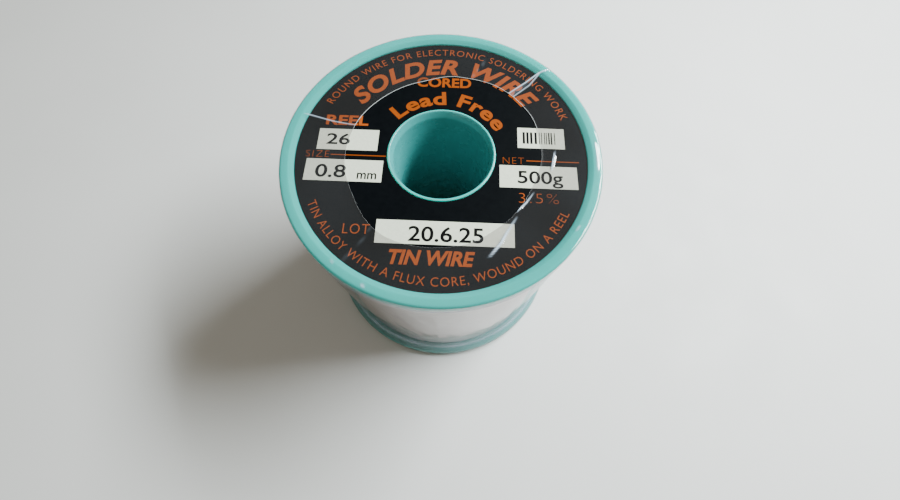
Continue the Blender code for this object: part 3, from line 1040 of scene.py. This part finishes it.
def tuck_lift(tucks, angle):
    lift = 0.0
    for centre, width, height in tucks:
        away = abs(turn_between(angle, centre))
        if away < 4 * width:
            lift += height * MM * bell(away, width)
    return lift


# From CLIMB_START the film leaves the label, and runs up almost straight to the rim's crest.
CLIMB_RUN = RIM_INNER + RIM_BEVEL_WIDTH - CLIMB_START
CLIMB_EASE = 1.5 * MM


def climbed(distance):
    distance = max(distance, 0.0)
    return distance * distance / (distance + CLIMB_EASE)


def face_row(share, opening, tucks, segments):
    """One ring of the film over a face, from the opening (0) to the rim's round (1)."""
    outer = REEL_RADIUS - RIM_ROUND
    crest = REEL_TOP + FILM_CLEARANCE
    resting = LABEL_TOP + 2 * PRINT_STEP + FILM_CLEARANCE
    row = []
    for angle, c, s in FILM_TURNS:
        inner = value_round(opening, angle)
        radius = inner + (outer - inner) * share
        x, y = radius * c, radius * s
        settled = min(climbed(radius - CLIMB_START) / climbed(CLIMB_RUN), 1.0)
        z = resting + (crest - resting) * settled
        slow = noise.noise(Vector((x, y, 0.0)) * 130.0)
        z += FACE_RIPPLE * (1 + slow) * (1 - settled) * ease(share * 6)
        z += fold_at(Vector((x, y)), segments)[0]
        z += EDGE_RISE * bell(radius - inner, EDGE_RISE_WIDTH)
        z += tuck_lift(tucks, angle) * ease((radius - TUCKS_START) / TUCKS_EASING)
        row.append((x, y, z))
    return row


def rim_rows(tucks):
    """The film round a rim's corner, from the face to the side."""
    centre_r, centre_z = REEL_RADIUS - RIM_ROUND, REEL_TOP - RIM_ROUND
    rows = []
    for i in range(1, RIM_STEPS + 1):
        tilt = pi / 2 * (1 - i / RIM_STEPS)
        row = []
        for angle, c, s in FILM_TURNS:
            crumple = RIM_CRUMPLE * (1 + noise.noise(Vector((c * 14.0, s * 14.0, tilt * 1.5))))
            reach = RIM_ROUND + FILM_CLEARANCE + 0.6 * tuck_lift(tucks, angle)
            reach += crumple * sin(2 * tilt)
            radius = centre_r + reach * cos(tilt)
            row.append((radius * c, radius * s, centre_z + reach * sin(tilt)))
        rows.append(row)
    return rows


def free_end_reach(angle, z):
    """The least radius at which the film clears the wire's free end and the tape over it."""
    beside = ease((HELD_HALF_WIDTH - abs(turn_between(angle, HELD_MIDDLE))) / HELD_EASING + 1.0)
    above = ease((z - TAPE_BOTTOM + 2.5 * MM) / (2.0 * MM))
    return WINDING_RADIUS + WIRE_GAP + END_BULGE * beside * above


def drawn_in(share):
    """0 at both rims and about 1 at the waist, straight between but for a rounded waist."""
    down, back = share / FILM_WAIST, (1 - share) / (1 - FILM_WAIST)
    rounded = -log(exp(-WAIST_SHARPNESS * down) + exp(-WAIST_SHARPNESS * back)) / WAIST_SHARPNESS
    return max(rounded, 0.0)


def side_heights():
    """The heights of the side's rings from the top down, set close at the milky lines."""
    top = REEL_TOP - RIM_ROUND - 0.3 * MM
    bottom = OVERALL_HEIGHT - top
    extra = [line + offset * MM for line in (CORNER_LINE, FOOT_LINE) for offset in LINE_OFFSETS]
    extra.append(INNER_BOTTOM)
    even = [top + (bottom - top) * i / SIDE_STEPS for i in range(SIDE_STEPS + 1)]
    clear = [z for z in even[1:-1] if all(abs(z - other) > 0.3 * MM for other in extra)]
    return sorted([top, bottom] + clear + extra, reverse=True)


def side_whiteness(x, y, z):
    """How white the side is at a point, patchy along its two lines of milky film and painted
    highlight.
    """
    patchy = 0.8 + 0.4 * noise.noise(Vector((x * 320.0, y * 320.0, z * 90.0)))
    return patchy * (CORNER_WHITENESS * bell(z - CORNER_LINE, CORNER_WIDTH)
                     + FOOT_WHITENESS * bell(z - FOOT_LINE, FOOT_WIDTH))


def side_rows(tucks):
    """The film's side between the rims: drawn in towards its waist, with upright folds."""
    rows = []
    for z in side_heights():
        share = (INNER_TOP - z) / (INNER_TOP - INNER_BOTTOM)
        slack = ease(min(share, 1 - share) * 5) if 0 < share < 1 else 0.0
        draw_in = FILM_NECK * drawn_in(share)
        row = []
        for angle, c, s in FILM_TURNS:
            upright = noise.noise(Vector((c * 3.2, s * 3.2, z * 18.0)))
            creased = noise.noise(Vector((c * 9.0 + z * 40.0, s * 9.0, z * 30.0 + 5.0)))
            fine = noise.noise(Vector((c * 22.0, s * 22.0, z * 130.0)))
            wave = (UPRIGHT_WAVE * upright + CREASE_WAVE * (1 - 2 * abs(creased))
                    + FINE_WAVE * fine)
            seam = SEAM_HEIGHT * bell(turn_between(angle, SEAM_ANGLE), SEAM_WIDTH)
            lift = 0.3 * tuck_lift(tucks, angle) * (1 - slack)
            radius = (REEL_RADIUS + FILM_CLEARANCE - draw_in
                      + (wave + seam - 0.1) * slack * MM + lift)
            radius = max(radius, free_end_reach(angle, z))
            row.append((radius * c, radius * s, z))
        rows.append(row)
    return rows


def random_tucks(seed, count):
    draw = random.Random(seed)
    return [(draw.uniform(0, 360), draw.uniform(0.5, 1.2), draw.uniform(0.02, 0.08))
            for _ in range(count)]


def face_and_rim(opening, tucks, folds, steps):
    """The film's rings over a face and round its rim, set closer near the opening."""
    segments = fold_segments(folds)
    shares = [(i / steps) ** 1.25 for i in range(steps + 1)]
    return [face_row(share, opening, tucks, segments) for share in shares] + rim_rows(tucks)


def make_film():
    rows = face_and_rim(TOP_OPENING, TOP_TUCKS, TOP_FOLDS, FACE_STEPS)
    edge, top_points = rows[0], [point for row in rows for point in row]
    side = side_rows(TOP_TUCKS)
    side_points = [point for row in side for point in row]
    rows += side
    under = face_and_rim(BOTTOM_OPENING, random_tucks(12, 12), (), UNDERSIDE_STEPS)
    rows += [[(x, y, OVERALL_HEIGHT - z) for x, y, z in row] for row in reversed(under)]
    mesh = ring_mesh("shrink_film_skin", rows, closed=False)
    segments = fold_segments(TOP_FOLDS)
    # Painted glints and highlight lines: white laid on the film along the folds and along the
    # side's two lines.
    whitening = mesh.attributes.new(WHITENING_AND_GLINTS, "FLOAT", "POINT")
    milky = [fold_at(Vector((x, y)), segments)[1] for x, y, _ in top_points]
    milky += [side_whiteness(*point) for point in side_points]
    for value, amount in zip(whitening.data, milky):
        value.value = amount
    film = new_object("shrink_film_skin", mesh, film_look())
    thicken(film, FILM_THICKNESS, -1.0, 60.0)
    finish_piece(film, "film", "shrink_film")
    make_film_edge(edge)


def make_film_edge(edge):
    """The shrunk edge of the upper opening, thickened to a fine pale bead that is partly a painted
    highlight.
    """
    sides = 8
    rows = []
    for k in range(sides):
        tilt = tau * k / sides
        row = []
        for (x, y, z), angle in zip(edge, FILM_ANGLES):
            bead = value_round(EDGE_BEAD, angle)
            radius = Vector((x, y)).length + bead * cos(tilt)
            row.append(tuple(around(radius, angle, z - FILM_THICKNESS / 2 + bead * sin(tilt))))
        rows.append(row)
    rows.reverse()
    mesh = ring_mesh("shrink_film_edge", rows, closed=True)
    smooth(mesh, 80.0)
    bead = new_object("shrink_film_edge", mesh, film_edge_and_highlight_look())
    finish_piece(bead, "film", "shrink_film")


# ---- stage
CAMERA_PLACE = (0.0031, -0.0510, 0.1297)
CAMERA_AIM = (0.00262, -0.02215, 0.0580)
CAMERA_ROLL = 1.3
CAMERA_LENS = 16.4
FLOOR_REACH = 1.6
ROOM_COLOUR, ROOM_STRENGTH = (1.0, 0.93, 0.76, 1.0), 0.30
SOFTBOX_PLACE = (0.286, 0.139, 0.347)
SOFTBOX_WIDTH, SOFTBOX_HEIGHT = 0.313, 0.100
SOFTBOX_POWER, SOFTBOX_COLOUR = 6.8, (0.93, 1.0, 0.98)


def aim(thing, place, target, roll=0.0):
    """Puts a camera or a lamp at a place, looking at the target."""
    away = Vector(target) - Vector(place)
    thing.location = place
    thing.rotation_mode = "QUATERNION"
    thing.rotation_quaternion = (away.to_track_quat("-Z", "Y")
                                 @ Quaternion((0.0, 0.0, 1.0), radians(roll)))


def add_camera():
    data = bpy.data.cameras.new("camera")
    data.lens = CAMERA_LENS
    data.sensor_width = 36.0
    data.clip_start = 0.005
    camera = new_object("camera", data)
    aim(camera, CAMERA_PLACE, CAMERA_AIM, CAMERA_ROLL)
    bpy.context.scene.camera = camera


def add_softbox():
    data = bpy.data.lights.new("softbox", "AREA")
    data.shape = "RECTANGLE"
    data.size = SOFTBOX_WIDTH
    data.size_y = SOFTBOX_HEIGHT
    data.energy = SOFTBOX_POWER
    data.color = SOFTBOX_COLOUR
    aim(new_object("softbox", data), SOFTBOX_PLACE, (0.0, 0.0, MIDDLE))


def add_stage():
    sheet = bmesh.new()
    bmesh.ops.create_grid(sheet, x_segments=8, y_segments=8, size=FLOOR_REACH)
    mesh = built_mesh("floor", sheet)
    new_object("floor", mesh, floor_look())
    world = bpy.data.worlds.new("studio")
    bpy.context.scene.world = world
    world.use_nodes = True
    background = world.node_tree.nodes["Background"]
    background.inputs["Color"].default_value = ROOM_COLOUR
    background.inputs["Strength"].default_value = ROOM_STRENGTH
    add_softbox()


# ---- build
add_camera()
add_stage()
make_reel()
make_labels()
make_winding()
make_end_tape()
make_film()
